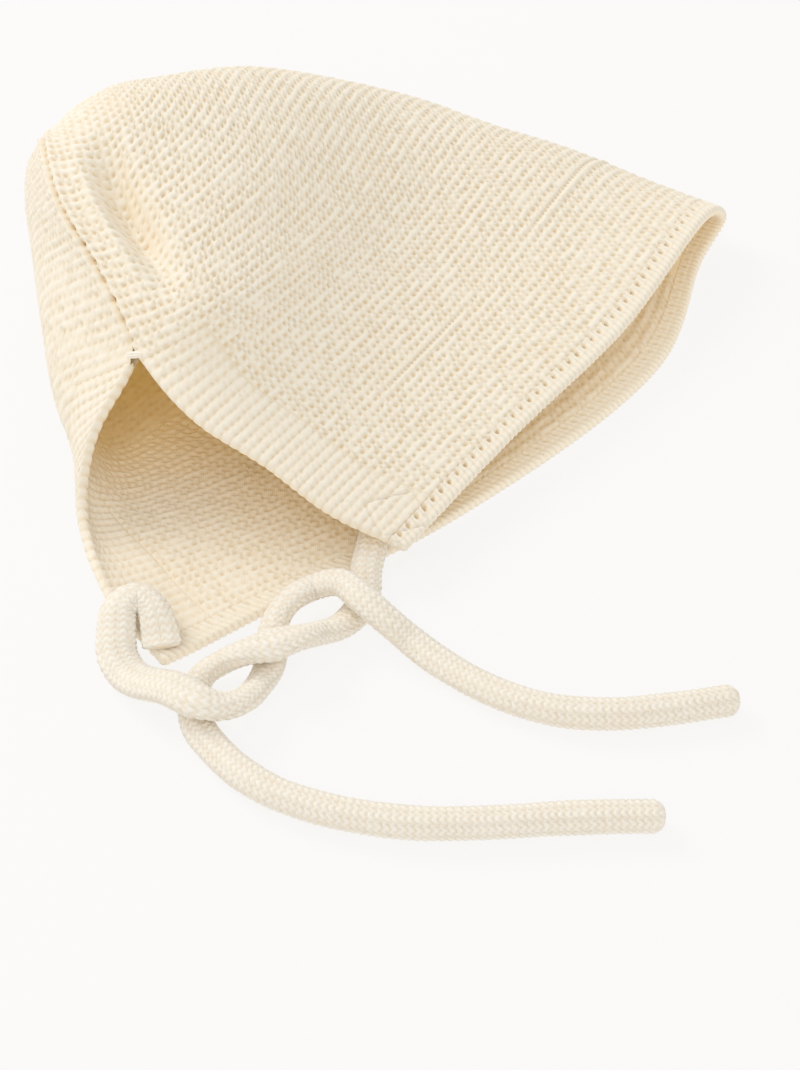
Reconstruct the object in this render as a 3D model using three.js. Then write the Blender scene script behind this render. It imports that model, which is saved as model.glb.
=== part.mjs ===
// A knitted cotton baby bonnet lying on its side, with its two ties half-knotted beside it.
// Millimetres, +Z up. The bonnet rests on its lower panel, and the origin is the middle of its footprint.

import * as THREE from 'three';
import { mergeVertices } from 'three/addons/utils/BufferGeometryUtils.js';

// Driving dimensions
const WALL = 2.4;             // thickness of the garter-stitch fabric
const JOIN = 0.4;             // space left between two pieces of fabric that meet
const PICOT_COURSES = 2.5;    // depth of the picot edge, in courses
const BAND_WIDTH = 17.6;      // width of the neck band
const BAND_END = 30;          // course where the neck bands stop, just short of the nape
const NAPE = 31;              // course where both neck edges meet and the back seam starts
const TIE_WIDTH = 7.4;
const TIE_THICKNESS = 5.6;
const TIE_SIDES = 8;
const TIE_STEPS = 38;
const FOOTPRINT_MIDDLE = [2.4, -4.05, -0.01];   // of the knitted pieces, where the tables place them

// How finely the fabric is divided
const BAND_COLUMNS = 4;
const MIDDLE_COLUMNS = 44;
const BAND_SHARE = 0.08;      // the band's columns never take more than this share of a short course
const BAND_STEPS = 18;
const CROWN_STEPS = 23;
const PICOT_STEPS = 2;

// Every course runs from the upper panel's edge, over the fold along the top of the head,
// and back under the lower panel to its edge. Past the nape both edges meet at the back seam.
const KNOTS = ['upperEdge', 'upperNear', 'upperFar', 'crest', 'fold', 'heel',
  'lowerFar', 'lowerNear', 'foot', 'flank', 'lowerEdge'];

// One row for each shaping course, counted in ridges from the face opening,
// with one [x, y, z] for each of KNOTS.
const SHAPING = [
  { course: 0, knots: [[8, -73, 10], [34, -35, 12], [64, 5, 14], [92, 54, 16.5], [97, 60, 8.5], [90, 53, 0],
    [74, 5, 0], [20, -53, 0], [-24, -85, 0], [-41, -99, 1], [-47, -104, 2]] },
  { course: 8, knots: [[-10, -68, 17], [14, -30, 16], [42, 14, 17], [72, 66, 17], [77.5, 74, 8], [72, 67, 0],
    [54, 20, 0], [0, -44, 0], [-41, -71, 0], [-59, -82, 1], [-62, -84, 3]] },
  { course: 16, knots: [[-25, -59, 24], [-5, -26, 22], [20, 16, 21], [51, 74, 22], [56, 83, 11], [51, 75, 0],
    [32, 28, 0], [-18, -35, 0], [-54, -56, 0], [-71, -63, 4], [-70, -62, 9]] },
  { course: 24, knots: [[-42, -51, 31], [-24, -26, 33], [2, 20, 28], [30, 78, 27], [35, 89, 13], [31, 79, 0],
    [12, 36, 0], [-35, -23, 0], [-61, -43, 0], [-73, -48, 13], [-67, -47, 24]] },
  { course: 31, knots: [[-57, -35, 38], [-41, -31, 45], [-14, 15, 39], [10, 81, 33], [15, 96, 17], [11, 84, 0],
    [-4, 44, 0], [-48, -8, 0], [-67, -30, 0], [-79.5, -27, 18], [-57, -35, 38]] },
  { course: 39, knots: [[-67, -15, 47], [-54, -15, 50], [-31, 16, 51], [-13, 74, 44], [-7, 93, 22], [-12, 76, 0],
    [-22, 52, 0], [-60, 8, 0], [-73, -12, 0], [-84.5, -2, 24], [-67, -15, 47]] },
  { course: 47, knots: [[-78, 4, 53], [-64, 6, 54], [-46, 26, 58], [-36, 64, 54], [-30, 87, 27], [-35, 67, 0],
    [-48, 50, 0], [-70, 24, 0], [-79, 8, 0], [-89, 22, 28], [-78, 4, 53]] },
  { course: 55, knots: [[-84, 28, 54], [-73, 26, 58], [-63, 33, 61], [-57, 54, 57], [-53, 78, 28], [-56, 59, 0],
    [-63, 46, 0], [-74, 36, 0], [-81, 26, 0], [-92, 39, 30], [-84, 28, 54]] },
  { course: 62, knots: [[-86, 49, 42], [-80, 50.5, 49], [-74, 53, 52], [-69, 60, 50], [-67, 73, 27], [-69, 65, 8],
    [-73, 60, 4], [-78, 55, 4], [-82, 49, 6], [-91, 52, 32], [-86, 49, 42]] },
  { course: 68, knots: KNOTS.map(() => [-79, 66, 33]) },
];
const LAST = SHAPING.at(-1).course;

// Each tie starts at its sewn end inside a front corner and lies as [x, y, z, tilt]:
// tilt turns the flat cord about its own line, in degrees, from flat on the table to on edge.
const UPPER_TIE = [
  [3, -55, 6.2, 0], [0.5, -62.5, 6, 0], [-1, -70, 5.7, 0], [-2, -75.5, 4.2, 0], [-2, -81, 2.9, 0],
  [-4, -87, 3, 0], [-7.5, -92.5, 4, 22], [-13, -96.5, 5.6, 40], [-18, -101, 8.8, 20],
  [-23, -104, 9.7, 5], [-28.5, -105, 8.6, 25], [-33.5, -105.5, 6, 40], [-37.5, -107.5, 4.4, 40],
  [-39.5, -111, 3.5, 20], [-39.5, -116, 3.1, 0], [-38, -122.5, 2.9, 0], [-34, -129, 2.9, 0],
  [-28.5, -135.5, 2.9, 0], [-21.5, -141, 2.9, 0], [-13.5, -144.8, 2.9, 0], [-3.5, -147.8, 2.9, 0],
  [10, -149.8, 2.9, 0], [27, -149.5, 2.9, 0], [39.5, -148.5, 2.9, 0], [52.5, -148, 2.9, 0],
  [62, -148, 2.9, 0],
];
const LOWER_TIE = [
  [-47.5, -100.5, 7.6, 0], [-48.5, -95.5, 7.8, 0], [-50.5, -90.5, 8.3, 0], [-54, -88, 8.9, 0],
  [-57.5, -91, 8.4, 0], [-58, -96.5, 6.6, 0], [-57.5, -102, 4.3, 0], [-55, -106.5, 3.4, 0],
  [-51.5, -110.5, 4.8, 0], [-44, -116, 8.6, 0], [-38, -120.5, 9.6, 0], [-33, -120, 7.4, -10],
  [-28.5, -116.5, 5.4, -30], [-25.5, -111, 3.9, -35], [-23.5, -105, 3.2, -10], [-23, -99, 3, 0],
  [-23, -94.5, 3.9, -30], [-21.5, -90, 5.6, -40], [-18.5, -86.5, 7, -35], [-14, -83, 7, -20],
  [-8, -83.5, 9.2, 0], [-2.5, -89.5, 9.8, 0], [3, -94, 7.6, 0], [8, -97, 4.6, 0], [15, -103, 3.1, 0],
  [26, -111.5, 2.9, 0], [39, -117.5, 2.9, 0], [52, -119, 2.9, 0], [65.5, -117.5, 2.9, 0],
  [81, -114.5, 2.9, 0],
];

const cream = { color: 0xf0e4cb, roughness: 0.95, metalness: 0 };
const knit = new THREE.MeshStandardMaterial(cream);
const bandKnit = new THREE.MeshStandardMaterial({ ...cream, color: 0xf2e7cf });
const picotKnit = new THREE.MeshStandardMaterial({ ...cream, color: 0xf4ead3 });
const cordKnit = new THREE.MeshStandardMaterial({ ...cream, color: 0xeee3ce });

const knotCurves = KNOTS.map((_, k) => new THREE.CatmullRomCurve3(
  SHAPING.map((row) => new THREE.Vector3(...row.knots[k]))));

// Where a course lies between the shaping rows, from 0 at the face opening to 1 at the crown's apex.
function alongSides(course) {
  const next = Math.max(1, SHAPING.findIndex((row) => row.course >= course));
  const [before, after] = [SHAPING[next - 1].course, SHAPING[next].course];
  return (next - 1 + (course - before) / (after - before)) / (SHAPING.length - 1);
}

// The points of one course, one for each column.
function coursePoints(course) {
  const at = alongSides(course);
  const curve = new THREE.CatmullRomCurve3(knotCurves.map((side) => side.getPoint(at)));
  const length = curve.getLength();
  return columnPlaces(length).map((distance) => {
    const point = course < LAST ? curve.getPointAt(Math.min(distance / length, 1)) : curve.getPoint(0);
    point.z = Math.max(point.z, 0);
    return point;
  });
}

// One piece of fabric: its cells of the sheet, drawn back a little wherever another piece meets it,
// a copy of them one WALL further in, and a rim along every free edge.
function fabric(name, material) {
  const triangles = cells.filter((cell) => cell.piece === name).flatMap((cell) => cell.triangles);
  const edges = new Set(triangles.flatMap(([a, b, c]) => [`${a},${b}`, `${b},${c}`, `${c},${a}`]));
  const { count } = sheet.attributes.position;
  const index = triangles.flatMap(([a, b, c]) => [a, b, c, c + count, b + count, a + count]);
  for (const edge of edges) {
    const [a, b] = edge.split(',').map(Number);
    const [c, d] = [a + count, b + count];
    if (!edges.has(`${b},${a}`)) index.push(...(a < b ? [b, a, c, b, c, d] : [b, a, d, a, c, d]));
  }
  const setBacks = drawnBack(triangles, edges);
  const points = [0, WALL].flatMap((depth) => Array.from(
    { length: count }, (_, i) => sheetPoint(i, depth).add(setBacks[i])));
  const solid = new THREE.BufferGeometry().setFromPoints(points);
  solid.setIndex(index);
  return new Piece(name, mergeVertices(solid.toNonIndexed(), 0.001), material);
}

// How far each of the sheet's points moves back into one piece, to leave half of each join.
function drawnBack(triangles, edges) {
  const moves = Array.from({ length: sheet.attributes.position.count }, () => new THREE.Vector3());
  for (const [a, b, c] of triangles.flatMap(([p, q, r]) => [[p, q, r], [q, r, p], [r, p, q]])) {
    if (edges.has(`${b},${a}`) || !shared.has(a) || !shared.has(b)) continue;
    const along = sheetPoint(b, 0).sub(sheetPoint(a, 0));
    const inward = sheetPoint(c, 0).sub(sheetPoint(a, 0));
    inward.addScaledVector(along, -inward.dot(along) / along.lengthSq()).normalize();
    moves[a].add(inward);
    moves[b].add(inward);
  }
  return moves.map((move) => move.setLength(move.length() > 0 ? JOIN / 2 : 0));
}

// One of the sheet's points, moved inwards by a depth.
function sheetPoint(i, depth) {
  const { position, normal } = sheet.attributes;
  return new THREE.Vector3().fromBufferAttribute(normal, i).multiplyScalar(-depth)
    .add(new THREE.Vector3().fromBufferAttribute(position, i));
}

// The piece that a cell of the sheet belongs to.
function pieceAt(course, column) {
  if (course < PICOT_COURSES) return 'picot_edge';
  if (course < BAND_END && column < BAND_COLUMNS) return 'neck_band_upper';
  if (course < BAND_END && column >= COLUMNS - BAND_COLUMNS) return 'neck_band_lower';
  return 'knitted_body';
}

// The whole bonnet as one sheet: its edges merge along the back seam and its last course at the apex.
function wholeSheet() {
  const grid = new THREE.BufferGeometry().setFromPoints(COURSES.flatMap(coursePoints));
  const width = COLUMNS + 1;
  const corners = COURSES.slice(1).flatMap((_, row) => Array.from(
    { length: COLUMNS }, (__, column) => row * width + column));
  grid.setIndex(corners.flatMap((a) => [a, a + 1, a + width + 1, a, a + width + 1, a + width]));
  const merged = mergeVertices(grid, 0.01);
  merged.computeVertexNormals();
  return merged;
}

class Piece extends THREE.Mesh {
  constructor(name, geometry, material) {
    super(geometry, material);
    this.name = name;
  }
}

// A flat cord's line: its section lies level across the line, turned about it by the tilt.
class LaidCord extends THREE.CatmullRomCurve3 {
  constructor(route) {
    super(route.map(([x, y, z]) => new THREE.Vector3(x, y, z)));
    this.tilts = new THREE.CatmullRomCurve3(route.map((stop) => new THREE.Vector3(stop[3], 0, 0)));
  }

  computeFrenetFrames(steps) {
    const frames = { tangents: [], normals: [], binormals: [] };
    for (let i = 0; i <= steps; i += 1) {
      const tangent = this.getTangentAt(i / steps);
      const across = new THREE.Vector3(0, 0, 1).cross(tangent).normalize();
      const tilt = this.tiltAt(this.getUtoTmapping(i / steps));
      across.applyAxisAngle(tangent, tilt);
      frames.tangents.push(tangent);
      frames.normals.push(across);
      frames.binormals.push(tangent.clone().cross(across));
    }
    return frames;
  }

  tiltAt(t) {
    const place = t * (this.points.length - 1);
    const stop = Math.min(Math.floor(place), this.points.length - 2);
    const [before, after] = this.tilts.points.slice(stop, stop + 2);
    return THREE.MathUtils.degToRad(THREE.MathUtils.lerp(before.x, after.x, place - stop));
  }
}

function tie(name, route) {
  const corner = Math.cos(Math.PI / TIE_SIDES);
  const outline = Array.from({ length: TIE_SIDES }, (_, i) => {
    const angle = (i + 0.5) * 2 * Math.PI / TIE_SIDES;
    return new THREE.Vector2(
      TIE_WIDTH / 2 * Math.cos(angle) / corner, TIE_THICKNESS / 2 * Math.sin(angle) / corner);
  });
  const geometry = new THREE.ExtrudeGeometry(new THREE.Shape(outline), {
    steps: TIE_STEPS, extrudePath: new LaidCord(route), bevelEnabled: false });
  return new Piece(name, geometry, cordKnit);
}

// Even steps from one number to another, both ends included.
function steps(first, last, count) {
  return Array.from({ length: count + 1 }, (_, i) => first + (last - first) * i / count);
}

// Where the columns lie along a course: across the band, evenly over the middle, across the band.
function columnPlaces(length) {
  const band = Math.min(BAND_WIDTH, length * BAND_SHARE);
  return [...steps(0, band, BAND_COLUMNS), ...steps(band, length - band, MIDDLE_COLUMNS).slice(1, -1),
    ...steps(length - band, length, BAND_COLUMNS)];
}

const COURSES = [...steps(0, PICOT_COURSES, PICOT_STEPS), ...steps(PICOT_COURSES, BAND_END, BAND_STEPS).slice(1),
  ...steps(NAPE, LAST, CROWN_STEPS)];
const COLUMNS = 2 * BAND_COLUMNS + MIDDLE_COLUMNS;
const sheet = wholeSheet();
const cells = COURSES.slice(1).flatMap((_, row) => Array.from({ length: COLUMNS }, (__, column) => {
  const start = 6 * (row * COLUMNS + column);
  return {
    piece: pieceAt(COURSES[row], column),
    triangles: [start, start + 3].map((i) => [...sheet.index.array.slice(i, i + 3)])
      .filter(([a, b, c]) => a !== b && b !== c && c !== a),
  };
}));
const owners = new Map();
for (const { piece, triangles } of cells) {
  for (const i of triangles.flat()) owners.set(i, (owners.get(i) ?? new Set()).add(piece));
}
const shared = new Set([...owners.keys()].filter((i) => owners.get(i).size > 1));

const bonnet = new THREE.Group();
bonnet.add(
  fabric('knitted_body', knit),
  fabric('neck_band_upper', bandKnit),
  fabric('neck_band_lower', bandKnit),
  fabric('picot_edge', picotKnit),
  tie('tie_upper', UPPER_TIE),
  tie('tie_lower', LOWER_TIE),
);
bonnet.position.set(...FOOTPRINT_MIDDLE.map((value) => -value));

export default bonnet;
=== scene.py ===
"""A hand-knitted cotton baby bonnet lying on its side, with its two half-knotted ties."""

from math import cos, pi, radians, sin

import bmesh
import bpy
import numpy as np
from bpy.props import FloatProperty, FloatVectorProperty, PointerProperty
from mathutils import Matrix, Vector


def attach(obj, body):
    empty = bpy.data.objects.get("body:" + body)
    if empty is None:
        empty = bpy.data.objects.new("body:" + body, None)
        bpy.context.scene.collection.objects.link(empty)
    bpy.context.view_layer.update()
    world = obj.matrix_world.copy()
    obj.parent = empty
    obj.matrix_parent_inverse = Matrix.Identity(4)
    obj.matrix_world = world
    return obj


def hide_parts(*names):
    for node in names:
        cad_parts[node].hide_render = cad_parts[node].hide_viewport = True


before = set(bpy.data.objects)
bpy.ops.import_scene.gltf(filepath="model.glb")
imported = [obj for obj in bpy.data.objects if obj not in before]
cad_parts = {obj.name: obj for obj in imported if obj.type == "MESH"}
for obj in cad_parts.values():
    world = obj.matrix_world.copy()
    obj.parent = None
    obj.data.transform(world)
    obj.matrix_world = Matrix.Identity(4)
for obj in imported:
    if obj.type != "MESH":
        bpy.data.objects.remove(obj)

bl_info = {
    "name": "Knitted baby bonnet",
    "version": (1, 0, 0),
    "blender": (4, 5, 0),
    "location": "View3D > Sidebar > Bonnet",
    "description": "Knits the bonnet's panels, bands, picot edge, seam and ties over its frame",
    "category": "Object",
}

# Lengths are in mm, and places along the bonnet are in courses, counted from the face opening.
MM = 0.001
WALL = 2.4                # thickness of the fabric
RIDGE = 2.6               # from one course, or garter ridge, to the next
LOWEST = 0.1              # nothing comes nearer to the table than this
FOOTPRINT_MIDDLE = np.array([2.4, -4.05, -0.01])
PICOT_END = 2.0           # the course where the picot edge ends and the panels and bands start
BAND_WIDTH = 17.6
BAND_END = 30.0           # the course where both neck bands end
NAPE = 31.0               # the course where the back seam starts
MIDDLE_END = 44.0         # the course where the upper side's middle panel meets the back one
LAST_COURSE = 68.0        # the crown
ROUND_RIM = 1.1           # how far a rounded rim reaches past the flat of a strip
SQUARE_RIM = 0.25         # and a square one

LADDER_COURSE = 13.0      # two short ladders in the upper side lie along this course
LADDER_RUNG = 1.5
LADDERS = ((38, 82), (112, 168))      # and each runs from and to these distances from the neck edge
FOLD_CREST = 9.0          # the fold beside the back seam has its crest and its valley this far from it
FOLD_VALLEY = 15.6
SQUARE_ALONG = 8.1        # the stitched square's middle, from the face edge and from the neck edge
SQUARE_ACROSS = 8.7
SQUARE_SIZE = 8.4         # and from its middle to its points
TACK_REACH = 2.3          # half the length of the tack at the nape
TACK_GIRTH = 0.9          # and half its thickness

SEWN_DROP = 2.3           # a tie's sewn end lies this much closer to the fabric
DROP_STRETCH = 9          # over this far from the end
SEWN_STRETCH = 12         # and it is flattened over this far
SEWN_WIDER = 0.20         # by these shares of its width and thickness
SEWN_FLATTER = 0.66
KNOT_WIDER = 0.28         # a tie spreads by this share of its width in the knot
KNIT_TWIST = 1.6          # how fine the twist of the yarn is, on the bonnet and on the ties
TIE_TWIST = 2.2

CAMERA_TARGET = (0.0036, -0.05395, 0.00001)      # in metres
CAMERA_DISTANCE = 0.552
CAMERA_TILT = radians(43.4)      # how far the camera looks down from level
ROOM_LIGHT = 0.80

# One row for each shaping course, counted in ridges from the face opening. Each course runs from the
# upper panel's edge over the fold along the top of the head and back under the lower panel, in mm.
SHAPING = {
    # course: upper edge, near, far, crest, fold, heel, lower far, near, foot, flank, edge
    0: [(8, -73, 10), (34, -35, 12), (64, 5, 14), (92, 54, 16.5), (97, 60, 8.5), (90, 53, 0),
        (74, 5, 0), (20, -53, 0), (-24, -85, 0), (-41, -99, 1), (-47, -104, 2)],
    8: [(-10, -68, 17), (14, -30, 16), (42, 14, 17), (72, 66, 17), (77.5, 74, 8), (72, 67, 0),
        (54, 20, 0), (0, -44, 0), (-41, -71, 0), (-59, -82, 1), (-62, -84, 3)],
    16: [(-25, -59, 24), (-5, -26, 22), (20, 16, 21), (51, 74, 22), (56, 83, 11), (51, 75, 0),
         (32, 28, 0), (-18, -35, 0), (-54, -56, 0), (-71, -63, 4), (-70, -62, 9)],
    24: [(-42, -51, 31), (-24, -26, 33), (2, 20, 28), (30, 78, 27), (35, 89, 13), (31, 79, 0),
         (12, 36, 0), (-35, -23, 0), (-61, -43, 0), (-73, -48, 13), (-67, -47, 24)],
    31: [(-57, -35, 38), (-41, -31, 45), (-14, 15, 39), (10, 81, 33), (15, 96, 17), (11, 84, 0),
         (-4, 44, 0), (-48, -8, 0), (-67, -30, 0), (-79.5, -27, 18), (-57, -35, 38)],
    39: [(-67, -15, 47), (-54, -15, 50), (-31, 16, 51), (-13, 74, 44), (-7, 93, 22), (-12, 76, 0),
         (-22, 52, 0), (-60, 8, 0), (-73, -12, 0), (-84.5, -2, 24), (-67, -15, 47)],
    47: [(-78, 4, 53), (-64, 6, 54), (-46, 26, 58), (-36, 64, 54), (-30, 87, 27), (-35, 67, 0),
         (-48, 50, 0), (-70, 24, 0), (-79, 8, 0), (-89, 22, 28), (-78, 4, 53)],
    55: [(-84, 28, 54), (-73, 26, 58), (-63, 33, 61), (-57, 54, 57), (-53, 78, 28), (-56, 59, 0),
         (-63, 46, 0), (-74, 36, 0), (-81, 26, 0), (-92, 39, 30), (-84, 28, 54)],
    62: [(-86, 49, 42), (-80, 50.5, 49), (-74, 53, 52), (-69, 60, 50), (-67, 73, 27), (-69, 65, 8),
         (-73, 60, 4), (-78, 55, 4), (-82, 49, 6), (-91, 52, 32), (-86, 49, 42)],
    68: [(-79, 66, 33)] * 11,
}

# Each tie as it lies, in mm, with the tilt of its flat section from flat on the table, in degrees.
UPPER_TIE = [
    (3, -55, 6.2, 0), (0.5, -62.5, 6, 0), (-1, -70, 5.7, 0), (-2, -75.5, 4.2, 0), (-2, -81, 2.9, 0),
    (-4, -87, 3, 0), (-7.5, -92.5, 4, 22), (-13, -96.5, 5.6, 40), (-18, -101, 8.8, 20),
    (-23, -104, 9.7, 5), (-28.5, -105, 8.6, 25), (-33.5, -105.5, 6, 40), (-37.5, -107.5, 4.4, 40),
    (-39.5, -111, 3.5, 20), (-39.5, -116, 3.1, 0), (-38, -122.5, 2.9, 0), (-34, -129, 2.9, 0),
    (-28.5, -135.5, 2.9, 0), (-21.5, -141, 2.9, 0), (-13.5, -144.8, 2.9, 0), (-3.5, -147.8, 2.9, 0),
    (10, -149.8, 2.9, 0), (27, -149.5, 2.9, 0), (39.5, -148.5, 2.9, 0), (52.5, -148, 2.9, 0),
    (62, -148, 2.9, 0),
]
LOWER_TIE = [
    (-47.5, -100.5, 7.6, 0), (-48.5, -95.5, 7.8, 0), (-50.5, -90.5, 8.3, 0), (-54, -88, 8.9, 0),
    (-57.5, -91, 8.4, 0), (-58, -96.5, 6.6, 0), (-57.5, -102, 4.3, 0), (-55, -106.5, 3.4, 0),
    (-51.5, -110.5, 4.8, 0), (-44, -116, 8.6, 0), (-38, -120.5, 9.6, 0), (-33, -120, 7.4, -10),
    (-28.5, -116.5, 5.4, -30), (-25.5, -111, 3.9, -35), (-23.5, -105, 3.2, -10), (-23, -99, 3, 0),
    (-23, -94.5, 3.9, -30), (-21.5, -90, 5.6, -40), (-18.5, -86.5, 7, -35), (-14, -83, 7, -20),
    (-8, -83.5, 9.2, 0), (-2.5, -89.5, 9.8, 0), (3, -94, 7.6, 0), (8, -97, 4.6, 0), (15, -103, 3.1, 0),
    (26, -111.5, 2.9, 0), (39, -117.5, 2.9, 0), (52, -119, 2.9, 0), (65.5, -117.5, 2.9, 0),
    (81, -114.5, 2.9, 0),
]


# ---------------------------------------------------------------- the bonnet's own surface

def spline(points, places):
    """Points on a centripetal Catmull-Rom curve; points is (n, ..., 3) and places run 0 to 1."""
    places = np.atleast_1d(places) * (len(points) - 1)
    start = np.minimum(places.astype(int), len(points) - 2)
    weight = (places - start).reshape((-1,) + (1,) * (points.ndim - 1))
    padded = np.concatenate([2 * points[:1] - points[1:2], points, 2 * points[-1:] - points[-2:-1]])
    before, left, right, after = (padded[start + step] for step in range(4))
    gaps = [np.sum((b - a) ** 2, axis=-1, keepdims=True) ** 0.25
            for a, b in ((before, left), (left, right), (right, after))]
    middle = np.where(gaps[1] < 1e-4, 1, gaps[1])
    first, last = (np.where(gap < 1e-4, middle, gap) for gap in (gaps[0], gaps[2]))
    out = middle * ((left - before) / first - (right - before) / (first + middle)
                    + (right - left) / middle)
    into = middle * ((right - left) / middle - (after - left) / (middle + last)
                     + (after - right) / last)
    turn = -3 * left + 3 * right - 2 * out - into
    return left + weight * (out + weight * (turn + weight * (2 * left - 2 * right + out + into)))


class Sheet:
    """The bonnet as one smooth sheet, looked up by course and by share of the way along the course."""

    STEP = 0.125          # courses from one row of the table to the next
    SHARES = 1001         # places along each row
    SMOOTHING = 14        # times that the table is smoothed

    def __init__(self):
        courses = np.array(list(SHAPING), float)
        knots = np.array(list(SHAPING.values()), float) - FOOTPRINT_MIDDLE
        self.seamed = int(NAPE / self.STEP)
        rows = np.arange(0, LAST_COURSE + self.STEP / 2, self.STEP)
        along = np.interp(rows, courses, np.linspace(0, 1, len(courses)))
        sections = spline(knots, along).transpose(1, 0, 2)
        fine = spline(sections, np.linspace(0, 1, 601)).transpose(1, 0, 2)
        fine[..., 2] = np.maximum(fine[..., 2], 0)
        table = np.array([self.even(row) for row in fine])
        self.points = self.soften(table)
        self.lengths = np.linalg.norm(np.diff(self.points, axis=1), axis=2).sum(axis=1)
        self.normals = self.find_normals()

    def even(self, row):
        """One course with its points at even distances."""
        distance = np.concatenate([[0], np.cumsum(np.linalg.norm(np.diff(row, axis=0), axis=1))])
        places = np.linspace(0, distance[-1], self.SHARES)
        return np.stack([np.interp(places, distance, row[:, axis]) for axis in range(3)], axis=1)

    def soften(self, table):
        """Rounds small kinks, lets the fabric turn softly over the back seam, and closes the crown."""
        for _ in range(self.SMOOTHING):
            wide = np.concatenate([2 * table[:, :1] - table[:, 4:0:-1], table,
                                   2 * table[:, -1:] - table[:, -2:-6:-1]], axis=1)
            wide[self.seamed:, :4] = table[self.seamed:, -5:-1]
            wide[self.seamed:, -4:] = table[self.seamed:, 1:5]
            table = (wide[:, :-8] + wide[:, 8:] + 2 * wide[:, 4:-4]) / 4
            tall = np.concatenate([2 * table[:1] - table[3:0:-1], table, table[-1:].repeat(3, axis=0)])
            table = (tall[:-6] + tall[6:] + 2 * tall[3:-3]) / 4
        table[-1] = table[-1].mean(axis=0)
        return table

    def find_normals(self):
        """The outward direction at every place, the same on both sides of the back seam."""
        around = np.gradient(self.points, axis=1)
        join = self.points[self.seamed:, 1] - self.points[self.seamed:, -2]
        around[self.seamed:, 0] = join
        around[self.seamed:, -1] = join
        back = np.gradient(self.points, axis=0)
        normals = np.cross(around, back)
        length = np.linalg.norm(normals, axis=2, keepdims=True)
        normals = normals / np.maximum(length, 1e-9)
        normals[-1] = normals[-2].mean(axis=0)
        return normals / np.linalg.norm(normals, axis=2, keepdims=True)

    def look_up(self, grid, course, share):
        """Reads a table between its rows and columns."""
        row = np.clip(course / self.STEP, 0, len(grid) - 1.001)
        column = np.clip(share, 0, 1) * (self.SHARES - 1)
        i, j = row.astype(int), np.minimum(column.astype(int), self.SHARES - 2)
        a = (row - i).reshape(row.shape + (1,) * (grid.ndim - 2))
        b = (column - j).reshape(a.shape)
        return ((1 - a) * (1 - b) * grid[i, j] + (1 - a) * b * grid[i, j + 1]
                + a * (1 - b) * grid[i + 1, j] + a * b * grid[i + 1, j + 1])

    def length(self, course):
        """The whole way along a course, from neck edge to neck edge."""
        return np.interp(course / self.STEP, np.arange(len(self.lengths)), self.lengths)


sheet = Sheet()


# ---------------------------------------------------------------- stitches

def chance(row, column):
    """The same small random number, from -0.5 to 0.5, each time for one stitch."""
    return np.mod(np.sin(row * 12.9898 + column * 78.233) * 43758.5453, 1) - 0.5


def garter(course, stitch):
    """Height of the garter bumps, from 0 in the pin holes to 1 on the crests.

    Each ridge is two rows of bumps set into each other half a stitch apart, with a pin hole between each
    bump and the next. The holes between two ridges are the deeper ones. The rows wander a little, and
    each hole has a depth of its own.
    """
    up = course - 0.5 + 0.05 * np.sin(2 * pi * (0.29 * stitch - 0.17 * course))
    wander = np.sin(2 * pi * (0.37 * stitch + 0.21 * course))
    bent = stitch + 0.13 * np.cos(2 * pi * up) + 0.09 * wander
    lattice = np.cos(2 * pi * bent) * np.cos(2 * pi * up)
    odd = chance(np.round(2 * up), np.round(bent + 0.5 * np.mod(np.round(2 * up), 2)))
    hole = (0.5 - 0.5 * lattice) ** 1.5
    ridge = 0.5 + 0.5 * np.cos(2 * pi * up)
    # painted shade: this height also sets the yarn's colour, so the pin holes are painted darker as well as
    # sunk
    return np.clip(1.0 - hole * (0.86 + 0.9 * odd - 0.46 * ridge) - 0.28 * (1 - ridge) ** 2, 0, 1.1)


def rope(course, stitch):
    """Height of the band's ridges, from 0 to 1: even ropes of leaning stitches, one for each course."""
    row = np.floor(course)
    up = course - row - 0.5
    leaning = stitch + 0.8 * up
    column = np.floor(leaning)
    across = np.abs(2 * (leaning - column) - 1)
    ridge = np.clip(1 - np.abs(up / 0.54) ** 2.6, 0, 1) ** 0.6
    return ridge * (1 - 0.32 * across ** 4 + 0.12 * chance(row, column))


def crease(distance, width):
    """1 on a line and falling away to both sides."""
    return np.exp(-(distance / width) ** 2)


def between(value, low, high, soft):
    """1 from low to high, fading out over a soft stretch at each end."""
    return np.clip((value - low) / soft, 0, 1) * np.clip((high - value) / soft, 0, 1)


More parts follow.
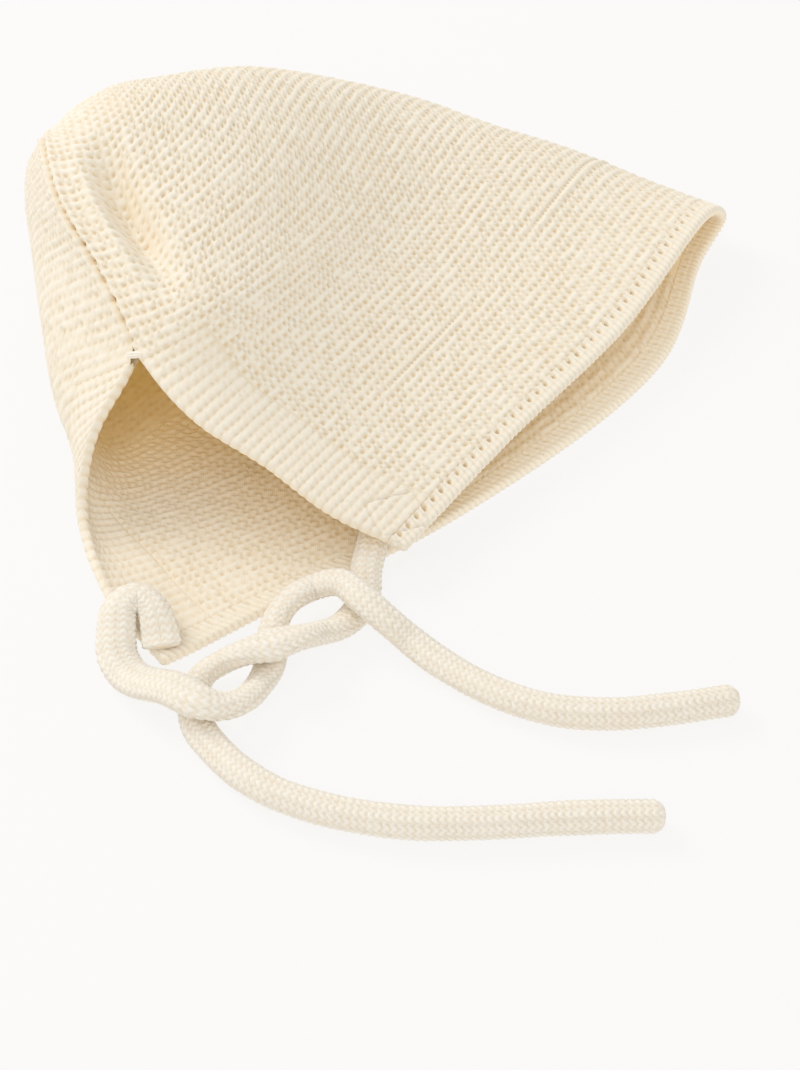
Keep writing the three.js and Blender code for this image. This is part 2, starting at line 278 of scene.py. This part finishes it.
def knit_lift(course, edge, half, sizes):
    """How far the stitches stand out from the sheet, in mm, and how deep each point sits, 0 to 1, which also
    sets the painted shade of its yarn.
    """
    stitch = edge / sizes.stitch
    in_band = np.clip(BAND_WIDTH + 0.5 - edge, 0, 1) * np.clip((BAND_END + 4 - course) / 8, 0, 1)
    height = garter(course, stitch)
    height = height + 0.55 * in_band * (rope(course, stitch) - height)
    lift = sizes.relief * (height - 0.7)
    join = crease(edge - BAND_WIDTH, 0.4) * between(course, 1, BAND_END + 1, 1)
    lift = lift - 0.45 * join
    # painted shade: the join between band and panel is coloured darker as well as sunk
    height = height * (1 - 0.35 * join)
    seam = np.clip((course - NAPE) / 2, 0, 1)
    open_part = 0.35 + 0.65 * between(course, 30, 47, 3)
    pull = (0.5 + 0.5 * np.cos(pi * course)) ** 2
    gap = seam * (0.35 * crease(edge, 0.4) + open_part * pull * crease(edge, 0.75))
    lift = lift - 1.5 * gap + seam * (0.6 * crease(edge - 1.9, 1.0) + 0.3 * crease(edge, 0.9))
    # painted shade: the gaps along the back seam are coloured darker as well as sunk
    height = np.clip(height - gap, 0, 1)
    if half == "upper":
        lift = lift + fold_beside_seam(course, edge) + tie_stitching(course, edge)
        for low, high in LADDERS:
            reach = between(edge, low, high, 10)
            even = reach * crease(course - LADDER_COURSE, 0.5) * (0.85 - height)
            rungs = 0.55 + 0.45 * np.cos(2 * pi * edge / LADDER_RUNG)
            slit = reach * rungs * crease(course - LADDER_COURSE, 0.17)
            beside = reach * crease(course - LADDER_COURSE + 0.5, 0.3)
            lift = lift + sizes.relief * even - 1.3 * slit + 0.3 * beside
            # painted shade: the slits of the ladders are coloured darker as well as sunk
            height = (height + even) * (1 - 0.95 * slit)
    return lift, height


def fold_beside_seam(course, edge):
    """The soft fold that runs along the upper side of the back seam, in mm."""
    reach = between(course, 34, 55, 8)
    return reach * (2.0 * crease(edge - FOLD_CREST, 2.5) - 7.0 * crease(edge - FOLD_VALLEY, 4.2))


def tie_stitching(course, edge):
    """The groove of the square of stitches that holds the tie inside the front corner, in mm."""
    along, across = course * RIDGE - SQUARE_ALONG, edge - SQUARE_ACROSS
    square = np.abs(along - 0.15 * across) + np.abs(across + 0.15 * along)
    return -0.55 * crease(square - SQUARE_SIZE, 0.55)


def picot_lift(course, along, inside, sizes):
    """The picot edge: slanting ribs from the edge to a row of eyelets, which hardly show inside."""
    leaning = along - 0.5 * course * RIDGE
    eyelet = leaning / sizes.eyelet
    odd = chance(np.round(eyelet), 3)
    rib = np.abs(np.cos(2 * pi * eyelet + 0.5 * odd)) ** 0.6
    beside = (eyelet - 0.25 - np.round(eyelet - 0.25)) * sizes.eyelet
    back = (course - 1.58) * RIDGE
    hole = np.exp(-(beside / 0.62) ** 2 - (back / 0.72) ** 2) * (1 + 0.4 * odd)
    hole = hole * np.where(inside, 0.3, 1.0)
    notch = between(course, -1, 0.55, 0.5) * (1 - rib)
    # painted shade: this height also sets the yarn's colour, so the notches between the teeth, a line along
    # the edge and the eyelets are painted darker as well as sunk
    height = (0.45 + 0.55 * rib) * (1 - 0.2 * crease(course - 0.95, 0.12)) - 0.25 * notch
    lift = sizes.relief * (height - 0.7) - 1.5 * hole
    return lift, np.clip(height - 1.2 * hole, 0, 1)


def stitch_places(along, course):
    """Where each point lies in the knitting, counted in stitches and courses."""
    return np.stack([along / sizes().stitch, course], axis=1)


def place(course, share, depth, lift):
    """Points in metres, a depth into the fabric, with the lift out of whichever side is near."""
    out = sheet.look_up(sheet.points, course, share)
    normal = sheet.look_up(sheet.normals, course, share)
    points = out + normal * (lift * (1 - 2 * depth / WALL) - depth)[:, None]
    points[:, 2] = np.maximum(points[:, 2], LOWEST)
    return points * MM


def fabric_piece(name, columns, rows, shape, material, closed=False):
    """A grid given its shape by shape(u, v), which returns points, stitch places, heights and the strength
    of the painted glow.
    """
    mesh_maker = bmesh.new()
    bmesh.ops.create_grid(mesh_maker, x_segments=columns, y_segments=rows, size=0.5)
    mesh = bpy.data.meshes.new(name)
    mesh_maker.to_mesh(mesh)
    flat = np.empty(len(mesh.vertices) * 3, np.float32)
    mesh.vertices.foreach_get("co", flat)
    u, v = flat.reshape(-1, 3)[:, :2].T.astype(float) + 0.5
    points, stitches, height, glow = shape(np.clip(u, 0, 1), np.clip(v, 0, 1))
    mesh.vertices.foreach_set("co", points.astype(np.float32).ravel())
    corners = np.empty(len(mesh.loops), np.int32)
    mesh.loops.foreach_get("vertex_index", corners)
    uv = mesh.uv_layers.new(name="stitches")
    uv.data.foreach_set("uv", stitches[corners].astype(np.float32).ravel())
    # the first attribute sets the painted shade down between the stitches, the second the strength of the
    # painted glow on the inside faces
    for label, values in (("height", height), ("painted_glow", glow)):
        mesh.attributes.new(label, "FLOAT", "POINT").data.foreach_set("value", values.astype(np.float32))
    mesh_maker.free()
    if closed:
        mesh_maker = bmesh.new()
        mesh_maker.from_mesh(mesh)
        bmesh.ops.remove_doubles(mesh_maker, verts=mesh_maker.verts, dist=0.002 * MM)
        bmesh.ops.recalc_face_normals(mesh_maker, faces=mesh_maker.faces)
        mesh_maker.to_mesh(mesh)
        mesh_maker.free()
    mesh.shade_smooth()
    mesh.materials.append(material)
    piece = bpy.data.objects.new(name, mesh)
    bpy.context.collection.objects.link(piece)
    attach(piece, "root")
    return piece


def rim_loop(u, width, starts_round, ends_round):
    """Round a strip's cross-section: out over its face, round one rim, back inside, round the other.

    Returns the distance from the strip's start and the depth in the fabric.
    """
    radius = [ROUND_RIM if is_round else SQUARE_RIM for is_round in (starts_round, ends_round)]
    flat = width - sum(radius)
    turn = pi * WALL / 2
    travel = u * 2 * (flat + turn)
    legs = [travel - start for start in (0, flat, flat + turn, 2 * flat + turn)]
    distance = radius[0] + np.clip(legs[0], 0, flat) - np.clip(legs[2], 0, flat)
    depth = np.where(travel < flat, 0.0, WALL)
    rims = ((legs[1], ends_round, radius[1], 1), (legs[3], starts_round, radius[0], -1))
    for leg, is_round, size, side in rims:
        angle = np.clip(leg / turn, 0, 1) * pi
        power = 1.0 if is_round else 0.3
        on_rim = (leg > 0) & (leg < turn)
        distance = distance + side * size * np.where(on_rim, np.abs(np.sin(angle)) ** power, 0)
        fall = WALL / 2 * (1 - side * np.sign(np.cos(angle)) * np.abs(np.cos(angle)) ** power)
        depth = np.where(on_rim, fall, depth)
    return distance, np.where(u >= 1, 0.0, depth)


# ---------------------------------------------------------------- finishes

class Value:
    """A shader socket that can be used in arithmetic."""

    def __init__(self, finish, socket):
        self.finish = finish
        self.socket = socket

    def math(self, operation, *others):
        return self.finish.node("ShaderNodeMath", {"operation": operation}, self, *others)

    def __add__(self, other):
        return self.math("ADD", other)

    def __radd__(self, other):
        return self.math("ADD", other)

    def __sub__(self, other):
        return self.math("SUBTRACT", other)

    def __rsub__(self, other):
        return self.finish.node("ShaderNodeMath", {"operation": "SUBTRACT"}, other, self)

    def __mul__(self, other):
        return self.math("MULTIPLY", other)

    def __rmul__(self, other):
        return self.math("MULTIPLY", other)

    def __pow__(self, other):
        return self.math("POWER", other)


class Finish:
    """A material under construction."""

    def __init__(self, name):
        self.material = bpy.data.materials.new(name)
        self.material.use_nodes = True
        self.tree = self.material.node_tree
        self.tree.nodes.clear()

    def node(self, kind, settings=None, *values, output=0, **named):
        """Adds a node with its settings, then its sockets' values or links, and returns one output."""
        node = self.tree.nodes.new(kind)
        for name, value in (settings or {}).items():
            setattr(node, name, value)
        for key, value in [*enumerate(values), *named.items()]:
            socket = node.inputs[key.replace("_", " ") if isinstance(key, str) else key]
            if isinstance(value, Value):
                self.tree.links.new(value.socket, socket)
            else:
                socket.default_value = value
        return Value(self, node.outputs[output])

    def blend(self, amount, first, second):
        """Mixes two colours."""
        mix = self.tree.nodes.new("ShaderNodeMix")
        mix.data_type = "RGBA"
        for index, value in ((0, amount), (6, first), (7, second)):
            if isinstance(value, Value):
                self.tree.links.new(value.socket, mix.inputs[index])
            else:
                mix.inputs[index].default_value = value
        return Value(self, mix.outputs[2])

    def finish(self, surface):
        output = self.tree.nodes.new("ShaderNodeOutputMaterial")
        self.tree.links.new(surface.socket, output.inputs["Surface"])
        return self.material


def cotton(name, crest, pit_shade, twist, glow=(0, 0, 0)):
    """Soft matt cotton yarn with fine plies, and painted shade: the crest colour on the crests of the
    stitches, a golden painted shade between them.
    """
    finish = Finish(name)
    height = finish.node("ShaderNodeAttribute", {"attribute_name": "height"}, output=2)
    places = finish.node("ShaderNodeUVMap", {"uv_map": "stitches"})
    here = finish.node("ShaderNodeTexCoord", {}, output=3)
    patchy = finish.node("ShaderNodeTexNoise", {}, Vector=here, Scale=60.0, Detail=3.0, Roughness=0.6)
    fuzz = finish.node("ShaderNodeTexNoise", {}, Vector=here, Scale=2600.0, Detail=2.0, Roughness=0.7)
    turned = finish.node("ShaderNodeMapping", {}, Vector=places, Rotation=(0, 0, radians(38)))
    plies = finish.node("ShaderNodeTexWave", {"bands_direction": "X"}, Vector=turned, Scale=twist,
                        Distortion=2.5, Detail=1.0, output=1)
    # painted shade: the lower a point of the yarn sits, the nearer its colour comes to the pit colour; the
    # two noises add real random patchy tone and fuzz
    shade = height ** 0.75 * 0.92 + (patchy - 0.5) * 0.16 + (fuzz - 0.5) * 0.14
    inner = finish.blend(shade, (*pit_shade, 1), (*crest, 1))
    bump_height = plies * 0.35 + fuzz * 0.65
    bump = finish.node("ShaderNodeBump", {}, Strength=0.35, Distance=0.25 * MM, Height=bump_height)
    extra = {}
    # painted glow: an emission on the inside faces stands in for light that comes through the cotton and
    # bounces between the layers
    if any(glow):
        painted_glow_here = finish.node("ShaderNodeAttribute", {"attribute_name": "painted_glow"}, output=2)
        light = finish.blend(painted_glow_here, (0, 0, 0, 1), (*glow, 1))
        extra = {"Emission_Color": light, "Emission_Strength": 1.0}
    surface = finish.node("ShaderNodeBsdfPrincipled", {}, Base_Color=inner, Roughness=0.92, Normal=bump,
                          Sheen_Weight=0.2, Sheen_Roughness=0.6, Specular_IOR_Level=0.15, **extra)
    return finish.finish(surface)


# ---------------------------------------------------------------- settings

class BonnetSizes(bpy.types.PropertyGroup):
    stitch: FloatProperty(name="Stitch", description="Width of one stitch, in mm", default=2.3, min=1)
    relief: FloatProperty(name="Relief", description="Height of the garter ridges, in mm", default=0.8)
    eyelet: FloatProperty(name="Eyelet", description="From one picot eyelet to the next, in mm", default=3.5)
    tie_width: FloatProperty(name="Tie width", description="Width of the flat tie, in mm", default=7.4)
    tie_thickness: FloatProperty(name="Tie thickness", description="Thickness of the tie in the knot, in mm",
                                 default=5.6)
    tie_plumpness: FloatProperty(name="Tie plumpness", description="How much thicker the free run is, in mm",
                                 default=1.4)
    lens: FloatProperty(name="Lens", description="Focal length of the camera, in mm", default=77.4)


class BonnetColours(bpy.types.PropertyGroup):
    crest: FloatVectorProperty(name="Cotton", description="The yarn on the crests of the stitches",
                               subtype="COLOR", default=(0.935, 0.87, 0.745))
    # painted shade: the golden colour given to the yarn down between the stitches stands in for the shade
    # that falls there
    pit_shade: FloatVectorProperty(name="Between stitches", description="The yarn down between the stitches",
                             subtype="COLOR", default=(0.81, 0.65, 0.42))
    tie: FloatVectorProperty(name="Tie", description="The yarn of the ties",
                             subtype="COLOR", default=(0.98, 0.945, 0.865))
    # painted shade: the darker colour given to the tie's yarn between its stitches stands in for the shade
    # that falls there
    tie_pit_shade: FloatVectorProperty(name="Between tie stitches", subtype="COLOR", default=(0.85, 0.70, 0.49),
                                 description="The yarn between the tie's stitches")
    # painted glow: emission colour on the inside faces, standing in for light through the cotton and light
    # bounced between the layers
    glow: FloatVectorProperty(name="Glow", subtype="COLOR", default=(0.21, 0.135, 0.03),
                              description="The light that comes through the cotton to the inside")
    floor: FloatVectorProperty(name="Surface", description="The pale surface under the bonnet",
                               subtype="COLOR", default=(0.16, 0.15, 0.14))
    table: FloatVectorProperty(name="Lit surface", subtype="COLOR", default=(0.80, 0.80, 0.80),
                               description="The light of the surface's own, lit from below")


def sizes():
    return bpy.context.scene.bonnet_sizes


def colours():
    return bpy.context.scene.bonnet_colours


# ---------------------------------------------------------------- the pieces

# Each panel's layer: side, half, first and last course, columns and rows of its grid.
PANELS = {
    "garter_upper_front": ("outside", "upper", PICOT_END, BAND_END, 470, 195),
    "garter_upper_middle": ("outside", "upper", BAND_END, MIDDLE_END, 460, 96),
    "garter_upper_back": ("outside", "upper", MIDDLE_END, LAST_COURSE, 340, 168),
    "garter_lower_front": ("outside", "lower", PICOT_END, BAND_END, 170, 80),
    "garter_lower_back": ("outside", "lower", BAND_END, LAST_COURSE, 240, 140),
    "garter_inside_lower_front": ("inside", "lower", PICOT_END, BAND_END, 340, 136),
    "garter_inside_lower_back": ("inside", "lower", BAND_END, LAST_COURSE, 160, 100),
    "garter_inside_upper_front": ("inside", "upper", PICOT_END, BAND_END, 130, 56),
    "garter_inside_upper_back": ("inside", "upper", BAND_END, LAST_COURSE, 90, 64),
}
LAP = 0.7      # how far a panel's edge tucks in under the band or the picot edge
TUCK = 0.45    # and how deep


def painted_glow(course, edge, half):
    """How strong the painted glow on the inside is, standing in for light that comes through the cotton and
    bounces between the layers: most at the back and along the fold.
    """
    if half == "upper":
        return np.full_like(course, 0.5)
    back = 0.38 * np.clip((course - 17) / 12, 0, 1)
    return np.maximum(back, np.clip((edge - 50) / 120, 0.06, 0.30))


def panel_shape(side, half, first, last):
    """The shape of one layer of a panel, with its edges tucked in under the band and the picot edge."""

    def shape(u, v):
        across = u if (side == "outside") == (half == "upper") else 1 - u
        inset = BAND_WIDTH - LAP if last <= BAND_END else 0
        laps = first < MIDDLE_END
        start = first - LAP / RIDGE if laps else first
        end = last + 0.1 if last < LAST_COURSE else last
        course = start + (end - start) * v
        length = sheet.length(course)
        edge = inset + (length / 2 - inset) * across
        tuck = np.clip((first + 0.02 - course) * RIDGE / LAP, 0, 1) if laps else 0 * v
        if inset:
            tuck = np.maximum(tuck, np.clip((BAND_WIDTH + 0.05 - edge) / LAP, 0, 1))
        depth = TUCK * tuck if side == "outside" else WALL - TUCK * tuck
        lift, height = knit_lift(course, edge, half if side == "outside" else "inside", sizes())
        if side == "inside" and half == "upper":
            lift = lift - fold_beside_seam(course, edge)
        share = edge / np.maximum(length, 1e-6)
        share = share if half == "upper" else 1 - share
        glow = painted_glow(course, edge, half) if side == "inside" else 0 * v
        return place(course, share, depth, lift), stitch_places(edge, course), height, glow

    return shape


def knit_body(outside, inside):
    """The garter panels, each one layer of the fabric."""
    for name, (side, half, first, last, columns, rows) in PANELS.items():
        material = outside if side == "outside" else inside
        piece = fabric_piece(name, columns, rows, panel_shape(side, half, first, last), material)
        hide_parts("knitted_body")


def closing(v, rows):
    """1 along a strip and 0 on its two end rows, where its faces come together."""
    return np.clip(np.minimum(v, 1 - v) * rows, 0, 1)


def knit_bands(material):
    """The two firmer bands along the neck edge, each closed all round."""
    rows = 190
    for half in ("upper", "lower"):

        def shape(u, v):
            edge, depth = rim_loop(u, BAND_WIDTH + 0.1, True, False)
            depth = WALL / 2 + (depth - WALL / 2) * closing(v, rows)
            course = PICOT_END - 0.1 + (BAND_END + 0.2 - PICOT_END) * v
            lift, height = knit_lift(course, edge, half, sizes())
            share = edge / sheet.length(course)
            share = share if half == "upper" else 1 - share
            glow = np.where(depth > WALL / 2, painted_glow(course, edge, half), 0)
            return place(course, share, depth, lift), stitch_places(edge, course), height, glow

        piece = fabric_piece(f"band_{half}", 112, rows, shape, material, closed=True)
        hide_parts(f"neck_band_{half}")


def knit_picot(material):
    """The picot edge round the face opening, closed all round."""
    rows = 1080

    def shape(u, v):
        distance, depth = rim_loop(u, PICOT_END * RIDGE, True, False)
        depth = WALL / 2 + (depth - WALL / 2) * closing(v, rows)
        course = distance / RIDGE
        length = sheet.length(0.0)
        along = v * length
        teeth = 0.5 - 0.5 * np.cos(4 * pi * along / sizes().eyelet)
        lift, height = picot_lift(course, along, depth > WALL / 2, sizes())
        corner = tie_stitching(course, along)
        course = course + 0.16 * teeth * np.clip(1 - course / 0.8, 0, 1)
        glow = np.where(depth > WALL / 2, painted_glow(course, np.minimum(along, length - along), "lower"), 0)
        return place(course, v, depth, lift + corner), stitch_places(along, course), height, glow

    piece = fabric_piece("picot_eyelets", 48, rows, shape, material, closed=True)
    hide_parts("picot_edge")


def sew_nape_tack(material):
    """The few turns of yarn that hold the nape together where the two bands meet."""
    near = np.array([NAPE - 0.4] * 2)
    ends = sheet.look_up(sheet.points, near, np.array([0.0, 1.0]))
    out = sheet.look_up(sheet.normals, near, np.array([0.0, 1.0])).sum(axis=0)
    across = (ends[0] - ends[1]) / np.linalg.norm(ends[0] - ends[1])
    out = out - across * (out @ across)
    out /= np.linalg.norm(out)
    forward = np.cross(across, out)

    def shape(u, v):
        angle, reach = 2 * pi * u, 2 * v - 1
        turns = 0.80 + 0.20 * np.cos(7 * angle)
        girth = turns * np.sqrt(np.clip(1 - reach ** 2, 0, 1)) ** 0.7
        points = (ends.mean(axis=0) + np.outer(TACK_REACH * reach, across)
                  + np.outer(TACK_GIRTH * girth * np.cos(angle), forward)
                  + np.outer(TACK_GIRTH * girth * np.sin(angle), out))
        # painted shade: the yarn is coloured darker between the turns of the tack
        return points * MM, np.stack([u, v], axis=1), turns, 0 * v

    piece = fabric_piece("nape_tack", 56, 24, shape, material, closed=True)
    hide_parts("knitted_body")


# ---------------------------------------------------------------- the ties

def tie_line(route, count):
    """Even points along a tie's line, in mm, and what lies at each.

    Returns the points, the directions across and out of the tie's flat, the stop of the route reached so
    far, and the whole length.
    """
    stops = np.array(route, float)
    stops[:, :3] -= FOOTPRINT_MIDDLE
    places = np.linspace(0, 1, 4001)
    fine = spline(stops[:, :3], places)
    tilt = np.interp(places * (len(stops) - 1), np.arange(len(stops)), stops[:, 3])
    distance = np.concatenate([[0], np.cumsum(np.linalg.norm(np.diff(fine, axis=0), axis=1))])
    even = np.linspace(0, distance[-1], count)
    line = np.stack([np.interp(even, distance, fine[:, axis]) for axis in range(3)], axis=1)
    angle = np.radians(np.interp(even, distance, tilt))[:, None]
    stop = np.interp(even, distance, places) * (len(stops) - 1)
    ahead = np.gradient(line, axis=0)
    ahead /= np.linalg.norm(ahead, axis=1, keepdims=True)
    level = np.cross([0, 0, 1], ahead)
    level /= np.linalg.norm(level, axis=1, keepdims=True)
    raised = np.cross(ahead, level)
    across = level * np.cos(angle) + raised * np.sin(angle)
    return line, across, np.cross(ahead, across), stop, distance[-1]


def chevrons(along, column):
    """The V stitches of a tie knitted in the round: columns of them, pointing along the tie."""
    across = column - np.floor(column) - 0.5
    odd = chance(np.floor(along), np.floor(column))
    leg = 1 - 0.5 * np.abs(4 * (np.abs(across) - 0.25)) ** 3
    strand = 0.5 + 0.5 * np.cos(2 * pi * (along - 1.2 * np.abs(across) + 0.12 * odd))
    return np.clip(leg * (0.15 + 0.85 * strand ** 0.5) + 0.15 * odd, 0, 1)


def knit_tie(name, node, route, plump_from, spread, material):
    """One tie: a knitted tube, plumper from one stop of its route on, and spread flat between two stops."""
    rings, sides, columns, pitch = 640, 64, 14, 1.65
    line, across, up, stop, length = tie_line(route, rings + 1)
    plump = 0.5 - 0.5 * np.cos(pi * np.clip((stop - plump_from) / 4, 0, 1))
    thickness = sizes().tie_thickness + sizes().tie_plumpness * plump
    line[:, 2] += (thickness - sizes().tie_thickness) / 2      # the plump part rests on the table too
    from_sewn = np.linspace(0, length, rings + 1)
    line[:, 2] -= SEWN_DROP * (0.5 + 0.5 * np.cos(pi * np.clip(from_sewn / DROP_STRETCH, 0, 1)))

    def shape(u, v):
        ring = np.round(v * rings).astype(int)
        angle = 2 * pi * u
        travelled = v * length
        from_end = np.minimum(travelled, length - travelled)
        rounding = np.where(travelled < 5, 0.8, 3.2)
        cap = np.sqrt(np.clip(1 - (1 - np.clip(from_end / rounding, 0, 1)) ** 2, 0, 1))
        sewn = 0.5 + 0.5 * np.cos(pi * np.clip(travelled / SEWN_STRETCH, 0, 1))
        stitch = chevrons(travelled / pitch, u * columns)
        swell = 1 + 0.02 * np.sin(travelled / 7.1) + 0.015 * np.sin(travelled / 2.9 + 1)
        swell = swell + KNOT_WIDER * between(stop[ring], *spread, 3)
        puff = 0.5 * (stitch - 0.75)
        wide = (sizes().tie_width / 2 * swell * (1 + SEWN_WIDER * sewn) + puff) * cap
        deep = (thickness[ring] / 2 * (1 - SEWN_FLATTER * sewn) + puff) * cap ** 0.7
        points = line[ring] + across[ring] * (np.cos(angle) * wide)[:, None]
        points = points + up[ring] * (np.sin(angle) * deep)[:, None]
        points[:, 2] = np.maximum(points[:, 2], LOWEST)
        stitches = np.stack([u * columns, travelled / pitch], axis=1)
        # painted shade: the tie's yarn is coloured darker between its V stitches and toward its rounded ends
        return points * MM, stitches, stitch * np.clip(cap * 1.5, 0, 1), 0 * v

    piece = fabric_piece(name, sides, rings, shape, material, closed=True)
    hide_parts(node)
    path = [tuple(point * MM) for point in line]


# ---------------------------------------------------------------- the stage

def add_camera():
    camera = bpy.data.cameras.new("camera")
    camera.sensor_fit = "VERTICAL"
    camera.sensor_height = 36
    camera.sensor_width = 36
    camera.lens = sizes().lens
    camera.clip_start = 0.01
    seat = bpy.data.objects.new("camera", camera)
    back = Vector((0, -cos(CAMERA_TILT), sin(CAMERA_TILT)))
    seat.location = Vector(CAMERA_TARGET) + CAMERA_DISTANCE * back
    seat.rotation_euler = (pi / 2 - CAMERA_TILT, 0, 0)
    bpy.context.collection.objects.link(seat)
    bpy.context.scene.camera = seat


def add_lamp(name, location, target, size, power, colour):
    lamp = bpy.data.lights.new(name, "AREA")
    lamp.shape = "DISK"
    lamp.size = size
    lamp.energy = power
    lamp.color = colour
    seat = bpy.data.objects.new(name, lamp)
    seat.location = location
    seat.rotation_euler = (target - Vector(location)).to_track_quat("-Z", "Y").to_euler()
    bpy.context.collection.objects.link(seat)


def add_floor():
    maker = bmesh.new()
    bmesh.ops.create_grid(maker, x_segments=1, y_segments=1, size=3)
    mesh = bpy.data.meshes.new("surface")
    maker.to_mesh(mesh)
    maker.free()
    finish = Finish("pale surface")
    here = finish.node("ShaderNodeTexCoord", {}, output=3)
    grain = finish.node("ShaderNodeTexNoise", {}, Vector=here, Scale=900.0)
    colour = finish.blend(grain, (*[0.985 * part for part in colours().floor], 1), (*colours().floor, 1))
    surface = finish.node("ShaderNodeBsdfPrincipled", {}, Base_Color=colour, Roughness=0.9,
                          Specular_IOR_Level=0.0, Emission_Color=(*colours().table, 1),
                          Emission_Strength=1.0)
    mesh.materials.append(finish.finish(surface))
    floor = bpy.data.objects.new("surface", mesh)
    bpy.context.collection.objects.link(floor)


def light_the_room():
    world = bpy.data.worlds.new("studio")
    world.use_nodes = True
    background = world.node_tree.nodes["Background"]
    background.inputs["Color"].default_value = (1.0, 1.0, 1.0, 1)
    background.inputs["Strength"].default_value = ROOM_LIGHT
    bpy.context.scene.world = world
    middle = Vector((0, 0, 0.02))
    add_lamp("window", (-0.8, 0.58, 0.82), middle, 0.6, 4.8, (1.0, 0.99, 0.97))
    add_lamp("fill", (-0.1, -1.0, 1.1), middle, 1.0, 2.6, (1.0, 1.0, 1.0))
    bpy.context.scene.view_settings.view_transform = "Standard"


# ---------------------------------------------------------------- add-on

class BONNET_OT_stage(bpy.types.Operator):
    """Set up the camera, the lamps and the pale surface"""
    bl_idname = "bonnet.stage"
    bl_label = "Stage"

    def execute(self, context):
        add_camera()
        add_floor()
        light_the_room()
        return {"FINISHED"}


class BONNET_OT_ties(bpy.types.Operator):
    """Knit the two ties along the way that they lie"""
    bl_idname = "bonnet.ties"
    bl_label = "Ties"

    def execute(self, context):
        yarn = cotton("tie cotton", colours().tie, colours().tie_pit_shade, TIE_TWIST)
        knit_tie("tie_upper_knit", "tie_upper", UPPER_TIE, 14, (6, 12), yarn)
        knit_tie("tie_lower_knit", "tie_lower", LOWER_TIE, 23, (2.5, 12.5), yarn)
        return {"FINISHED"}


class BONNET_OT_body(bpy.types.Operator):
    """Knit the garter-stitch panels, outside and inside"""
    bl_idname = "bonnet.body"
    bl_label = "Garter body"

    def execute(self, context):
        outside = cotton("garter cotton", colours().crest, colours().pit_shade, KNIT_TWIST)
        inside = cotton("garter cotton inside", colours().crest, colours().pit_shade, KNIT_TWIST, colours().glow)
        knit_body(outside, inside)
        return {"FINISHED"}


class BONNET_OT_edges(bpy.types.Operator):
    """Knit the neck bands and the picot face edge, and sew the tack at the nape"""
    bl_idname = "bonnet.edges"
    bl_label = "Bands and picot edge"

    def execute(self, context):
        knit_bands(cotton("band cotton", colours().crest, colours().pit_shade, KNIT_TWIST, colours().glow))
        knit_picot(cotton("picot cotton", colours().crest, colours().pit_shade, KNIT_TWIST, colours().glow))
        sew_nape_tack(cotton("tack cotton", colours().tie, colours().pit_shade, KNIT_TWIST))
        return {"FINISHED"}


class BONNET_PT_panel(bpy.types.Panel):
    bl_label = "Knitted baby bonnet"
    bl_idname = "BONNET_PT_panel"
    bl_space_type = "VIEW_3D"
    bl_region_type = "UI"
    bl_category = "Bonnet"

    def draw(self, context):
        for group in (context.scene.bonnet_sizes, context.scene.bonnet_colours):
            for name in group.bl_rna.properties.keys()[1:]:
                self.layout.prop(group, name)
        for operator in OPERATORS:
            self.layout.operator(operator.bl_idname)


OPERATORS = (BONNET_OT_stage, BONNET_OT_ties, BONNET_OT_body, BONNET_OT_edges)
CLASSES = (BonnetSizes, BonnetColours, *OPERATORS, BONNET_PT_panel)


def register():
    for cls in CLASSES:
        bpy.utils.register_class(cls)
    bpy.types.Scene.bonnet_sizes = PointerProperty(type=BonnetSizes)
    bpy.types.Scene.bonnet_colours = PointerProperty(type=BonnetColours)


def unregister():
    del bpy.types.Scene.bonnet_colours
    del bpy.types.Scene.bonnet_sizes
    for cls in reversed(CLASSES):
        bpy.utils.unregister_class(cls)


def main():
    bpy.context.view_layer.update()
    register()
    bpy.ops.bonnet.stage()
    bpy.ops.bonnet.ties()
    bpy.ops.bonnet.body()
    bpy.ops.bonnet.edges()


if __name__ == "__main__":
    main()
